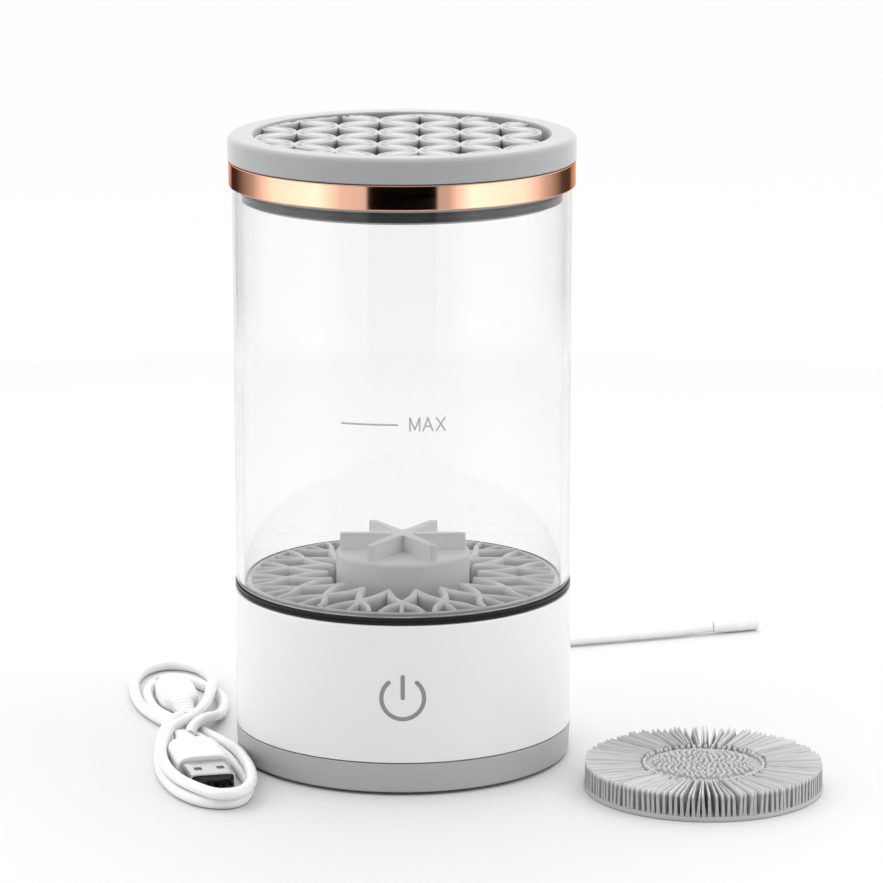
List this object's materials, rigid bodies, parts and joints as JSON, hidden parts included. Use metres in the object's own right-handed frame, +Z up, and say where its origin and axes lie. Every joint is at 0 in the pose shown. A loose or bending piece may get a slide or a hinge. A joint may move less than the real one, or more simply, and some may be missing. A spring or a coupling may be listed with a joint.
{
  "type": "electric makeup brush cleaner",
  "caption": "Powered base spins a silicone scrub mat inside a clear round cup, with a lattice drying lid, a spare bristle mat and a charging lead.",
  "frame": {"origin": "on the spin axis, at the underside of the anti-slip pad that the cleaner stands on", "axes": "+Z up along the spin axis, -Y towards the power mark on the front, +Y towards the cord outlet at the rear"},
  "size_m": [0.1919, 0.1934, 0.1689],
  "materials": {
    "white_shell": "glossy moulded ABS",
    "white_inner": "satin moulded ABS",
    "grey_foot": "satin moulded ABS",
    "lid_silicone": "matte silicone",
    "mat_silicone": "matte silicone",
    "black_rubber": "smooth rubber",
    "dark_plastic": "fine grain",
    "clear_cup": "clear polished plastic",
    "frosted_plastic": "frosted",
    "rose_gold": "polished metallised band",
    "steel": "plated steel",
    "brass": "turned",
    "copper": "copper",
    "nylon": "natural nylon",
    "board_green": "solder mask",
    "magnet_grey": "ferrite",
    "cord_white": "soft PVC"
  },
  "bodies": {
    "base": {"anti_slip_pad": "black_rubber", "foot_ring": "grey_foot", "bottom_cover": "grey_foot", "cover_screw_1": "steel", "cover_screw_2": "steel", "cover_screw_3": "steel", "cover_screw_4": "steel", "base_shell": "white_shell", "deck_plate": "white_inner", "shaft_seal": "black_rubber", "cup_gasket": "black_rubber", "circuit_board": "board_green", "control_chip": "dark_plastic", "capacitor": "steel", "touch_pad": "copper", "gearbox_tray": "dark_plastic", "gearbox_lid": "dark_plastic", "gearbox_screw_1": "steel", "gearbox_screw_2": "steel", "gearbox_screw_3": "steel", "gearbox_screw_4": "steel", "idler_pin": "steel", "lower_bush": "brass", "upper_bush": "brass", "motor_can": "steel", "motor_end_cap": "dark_plastic", "motor_magnet": "magnet_grey", "motor_screw_1": "steel", "motor_screw_2": "steel", "strain_relief": "cord_white", "supply_cord": "cord_white", "inline_socket": "cord_white", "socket_contact": "steel"},
    "spinner": {"drive_shaft": "steel", "output_gear": "nylon", "mat_carrier": "dark_plastic", "spinner_hub": "mat_silicone"},
    "idler": {"idler_gear": "nylon"},
    "rotor": {"motor_armature": "copper", "motor_pinion": "brass"},
    "mat": {"scrub_mat": "mat_silicone"},
    "cup_body": {"cup": "clear_cup"},
    "lid": {"lid_top": "lid_silicone", "lid_carrier": "frosted_plastic", "lid_gasket": "black_rubber", "lid_band": "rose_gold"},
    "spare": {"spare_mat": "mat_silicone"},
    "lead": {"lead_hank": "cord_white", "usb_plug_body": "cord_white", "usb_plug_shell": "steel", "usb_plug_tongue": "dark_plastic", "micro_plug_body": "cord_white", "micro_plug_shell": "steel"}
  },
  "joints": [
    {"name": "spin", "type": "hinge", "parent": "base", "child": "spinner", "pos_m": [0, 0, 0.05], "axis": [0, 0, 1], "continuous": true},
    {"name": "idler_spin", "type": "hinge", "parent": "base", "child": "idler", "pos_m": [0, 0.0168, 0.03], "axis": [0, 0, 1], "continuous": true},
    {"name": "rotor_spin", "type": "hinge", "parent": "base", "child": "rotor", "pos_m": [-0.0144, 0.0168, 0.02], "axis": [0, 0, 1], "continuous": true},
    {"name": "mat_lift", "type": "slide", "parent": "spinner", "child": "mat", "axis": [0, 0, 1], "range_m": [0, 0.04]},
    {"name": "cup_lift", "type": "slide", "parent": "base", "child": "cup_body", "axis": [0, 0, 1], "range_m": [0, 0.06]},
    {"name": "lid_lift", "type": "slide", "parent": "cup_body", "child": "lid", "axis": [0, 0, 1], "range_m": [0, 0.05]},
    {"name": "spare_lift", "type": "slide", "parent": "base", "child": "spare", "axis": [0, 0, 1], "range_m": [0, 0.05]},
    {"name": "lead_lift", "type": "slide", "parent": "base", "child": "lead", "axis": [0, 0, 1], "range_m": [0, 0.05]}
  ],
  "couplings": [
    {"joint": "idler_spin", "follows": "spin", "ratio": -3},
    {"joint": "rotor_spin", "follows": "spin", "ratio": 9}
  ]
}
